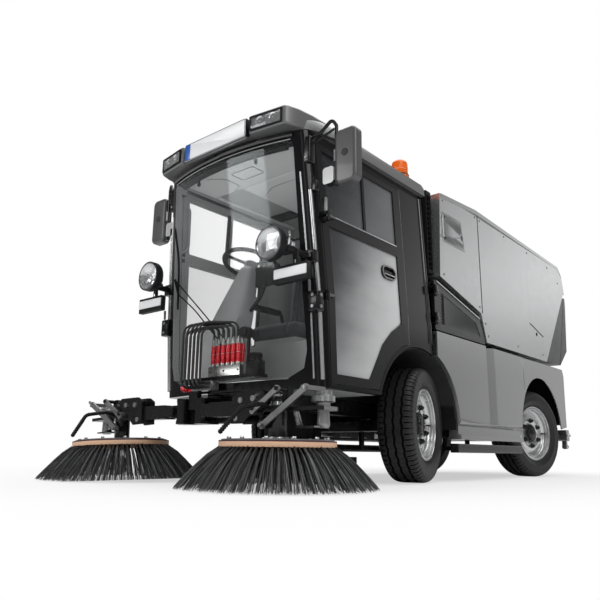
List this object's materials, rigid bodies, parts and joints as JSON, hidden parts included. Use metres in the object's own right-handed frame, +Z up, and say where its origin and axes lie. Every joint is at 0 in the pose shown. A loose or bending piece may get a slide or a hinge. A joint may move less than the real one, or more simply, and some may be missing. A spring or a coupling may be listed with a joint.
{
  "type": "street sweeper truck",
  "caption": "Compact street sweeper truck with a glazed cab, a tipping hopper, steered wheels at both ends and two front brooms, one swung out.",
  "frame": {"origin": "on the floor under the middle of the whole machine with its brooms; the front axle is at x = 0.5694 and the middle plane of the cab and chassis at y = 0.2019", "axes": "+X forwards, +Y to the left of the vehicle, +Z up"},
  "size_m": [4.4453, 2.2837, 2.1293],
  "materials": {
    "black_steel": "satin",
    "rim_silver": "satin",
    "tyre": "matte",
    "cab_black": "gloss",
    "black_plastic": "matte",
    "roof_grey": "satin",
    "glass": "gloss",
    "plate_white": "gloss",
    "beacon_orange": "gloss",
    "lamp": "gloss",
    "seat_fabric": "matte",
    "engine": "matte",
    "skirt_grey": "satin",
    "silver_panel": "satin",
    "broom_steel": "satin",
    "bristle": "matte",
    "hose": "satin"
  },
  "bodies": {
    "chassis": {"chassis_frame": "black_steel", "axles": "black_steel", "broom_carrier": "black_steel", "sill_rails": "black_steel", "rear_bumper": "black_steel", "coupling_block": "black_steel", "cab_frame": "cab_black", "wheel_arches": "black_plastic", "mirrors": "black_plastic", "roof_lamps": "black_plastic", "cab_floor": "black_plastic", "dashboard": "black_plastic", "steering_wheel": "black_plastic", "body_deck": "black_plastic", "engine_bay": "black_plastic", "suction_mouth": "black_plastic", "suction_duct": "black_plastic", "cab_roof": "roof_grey", "cab_glass": "glass", "number_plate": "plate_white", "beacon": "beacon_orange", "work_lamps": "lamp", "seat_cushion": "seat_fabric", "seat_back": "seat_fabric", "engine_block": "engine", "side_skirts": "skirt_grey", "rear_fenders": "skirt_grey", "hydraulic_hoses": "hose"},
    "steer_front_left": {"knuckle_front_left": "black_steel"},
    "wheel_front_left": {"rim_front_left": "rim_silver", "tyre_front_left": "tyre"},
    "steer_front_right": {"knuckle_front_right": "black_steel"},
    "wheel_front_right": {"rim_front_right": "rim_silver", "tyre_front_right": "tyre"},
    "steer_rear_left": {"knuckle_rear_left": "black_steel"},
    "wheel_rear_left": {"rim_rear_left": "rim_silver", "tyre_rear_left": "tyre"},
    "steer_rear_right": {"knuckle_rear_right": "black_steel"},
    "wheel_rear_right": {"rim_rear_right": "rim_silver", "tyre_rear_right": "tyre"},
    "door_left": {"door_left": "cab_black", "door_glass_left": "glass"},
    "engine_door_left": {"engine_door_left": "skirt_grey"},
    "flap_left": {"hopper_flap_left": "silver_panel"},
    "broom_swing_left": {"swing_link_left": "black_steel"},
    "broom_lift_left": {"broom_arm_left": "black_steel"},
    "broom_left": {"broom_disc_left": "broom_steel", "bristles_left": "bristle"},
    "door_right": {"door_right": "cab_black", "door_glass_right": "glass"},
    "engine_door_right": {"engine_door_right": "skirt_grey"},
    "flap_right": {"hopper_flap_right": "silver_panel"},
    "broom_swing_right": {"swing_link_right": "black_steel"},
    "broom_lift_right": {"broom_arm_right": "black_steel"},
    "broom_right": {"broom_disc_right": "broom_steel", "bristles_right": "bristle"},
    "hopper": {"hopper_shell": "silver_panel", "intake_louvre": "black_plastic", "tail_frame": "skirt_grey"},
    "tailgate": {"tailgate": "skirt_grey"}
  },
  "joints": [
    {"name": "steer_front_left", "type": "hinge", "parent": "chassis", "child": "steer_front_left", "pos_m": [0.5694, 0.6719, 0.35], "axis": [0, 0, 1], "range_deg": [-35, 9]},
    {"name": "wheel_front_left", "type": "hinge", "parent": "steer_front_left", "child": "wheel_front_left", "pos_m": [0.5604, 0.71087, 0.35], "axis": [-0.225, 0.9744, 0], "continuous": true},
    {"name": "steer_front_right", "type": "hinge", "parent": "chassis", "child": "steer_front_right", "pos_m": [0.5694, -0.2681, 0.35], "axis": [0, 0, 1], "range_deg": [-35, 9]},
    {"name": "wheel_front_right", "type": "hinge", "parent": "steer_front_right", "child": "wheel_front_right", "pos_m": [0.5784, -0.30707, 0.35], "axis": [-0.225, 0.9744, 0], "continuous": true},
    {"name": "steer_rear_left", "type": "hinge", "parent": "chassis", "child": "steer_rear_left", "pos_m": [-1.3166, 0.6719, 0.35], "axis": [0, 0, 1], "range_deg": [-9, 35]},
    {"name": "wheel_rear_left", "type": "hinge", "parent": "steer_rear_left", "child": "wheel_rear_left", "pos_m": [-1.3076, 0.71087, 0.35], "axis": [0.225, 0.9744, 0], "continuous": true},
    {"name": "steer_rear_right", "type": "hinge", "parent": "chassis", "child": "steer_rear_right", "pos_m": [-1.3166, -0.2681, 0.35], "axis": [0, 0, 1], "range_deg": [-9, 35]},
    {"name": "wheel_rear_right", "type": "hinge", "parent": "steer_rear_right", "child": "wheel_rear_right", "pos_m": [-1.3256, -0.30707, 0.35], "axis": [0.225, 0.9744, 0], "continuous": true},
    {"name": "door_left", "type": "hinge", "parent": "chassis", "child": "door_left", "pos_m": [1.5774, 0.8419, 0.965], "axis": [0, 0, -1], "range_deg": [0, 75]},
    {"name": "engine_door_left", "type": "hinge", "parent": "chassis", "child": "engine_door_left", "pos_m": [0.4384, 0.8429, 1.01], "axis": [0, 0, -1], "range_deg": [0, 80]},
    {"name": "flap_left", "type": "hinge", "parent": "hopper", "child": "flap_left", "pos_m": [0.2984, 0.8539, 1.7], "axis": [0, 0, -1], "range_deg": [0, 80]},
    {"name": "broom_swing_left", "type": "hinge", "parent": "chassis", "child": "broom_swing_left", "pos_m": [1.7194, 0.0559, 0.391], "axis": [0, 0, -1], "range_deg": [0, 35]},
    {"name": "broom_lift_left", "type": "hinge", "parent": "broom_swing_left", "child": "broom_lift_left", "pos_m": [1.7194, 0.1179, 0.391], "axis": [1, 0, 0], "range_deg": [0, 8]},
    {"name": "broom_left", "type": "hinge", "parent": "broom_lift_left", "child": "broom_left", "pos_m": [1.7194, 0.6399, 0.391], "axis": [0, 0, 1], "continuous": true},
    {"name": "door_right", "type": "hinge", "parent": "chassis", "child": "door_right", "pos_m": [1.5774, -0.4381, 0.965], "axis": [0, 0, 1], "range_deg": [0, 75]},
    {"name": "engine_door_right", "type": "hinge", "parent": "chassis", "child": "engine_door_right", "pos_m": [0.4384, -0.4391, 1.01], "axis": [0, 0, 1], "range_deg": [0, 80]},
    {"name": "flap_right", "type": "hinge", "parent": "hopper", "child": "flap_right", "pos_m": [0.2984, -0.4501, 1.7], "axis": [0, 0, 1], "range_deg": [0, 80]},
    {"name": "broom_swing_right", "type": "hinge", "parent": "chassis", "child": "broom_swing_right", "pos_m": [1.7194, -0.1041, 0.391], "axis": [0, 0, 1], "range_deg": [0, 35]},
    {"name": "broom_lift_right", "type": "hinge", "parent": "broom_swing_right", "child": "broom_lift_right", "pos_m": [1.7194, -0.1661, 0.391], "axis": [-1, 0, 0], "range_deg": [0, 8]},
    {"name": "broom_right", "type": "hinge", "parent": "broom_lift_right", "child": "broom_right", "pos_m": [1.7194, -0.6881, 0.391], "axis": [0, -0.0523, 0.9986], "continuous": true},
    {"name": "hopper_tip", "type": "hinge", "parent": "chassis", "child": "hopper", "pos_m": [-1.9006, 0.2019, 1.012], "axis": [0, -1, 0], "range_deg": [0, 45]},
    {"name": "tailgate", "type": "hinge", "parent": "hopper", "child": "tailgate", "pos_m": [-2.1986, 0.2019, 1.697], "axis": [0, 1, 0], "range_deg": [0, 70]}
  ],
  "couplings": [
    {"joint": "steer_front_right", "follows": "steer_front_left", "ratio": 1},
    {"joint": "steer_rear_right", "follows": "steer_rear_left", "ratio": 1}
  ]
}
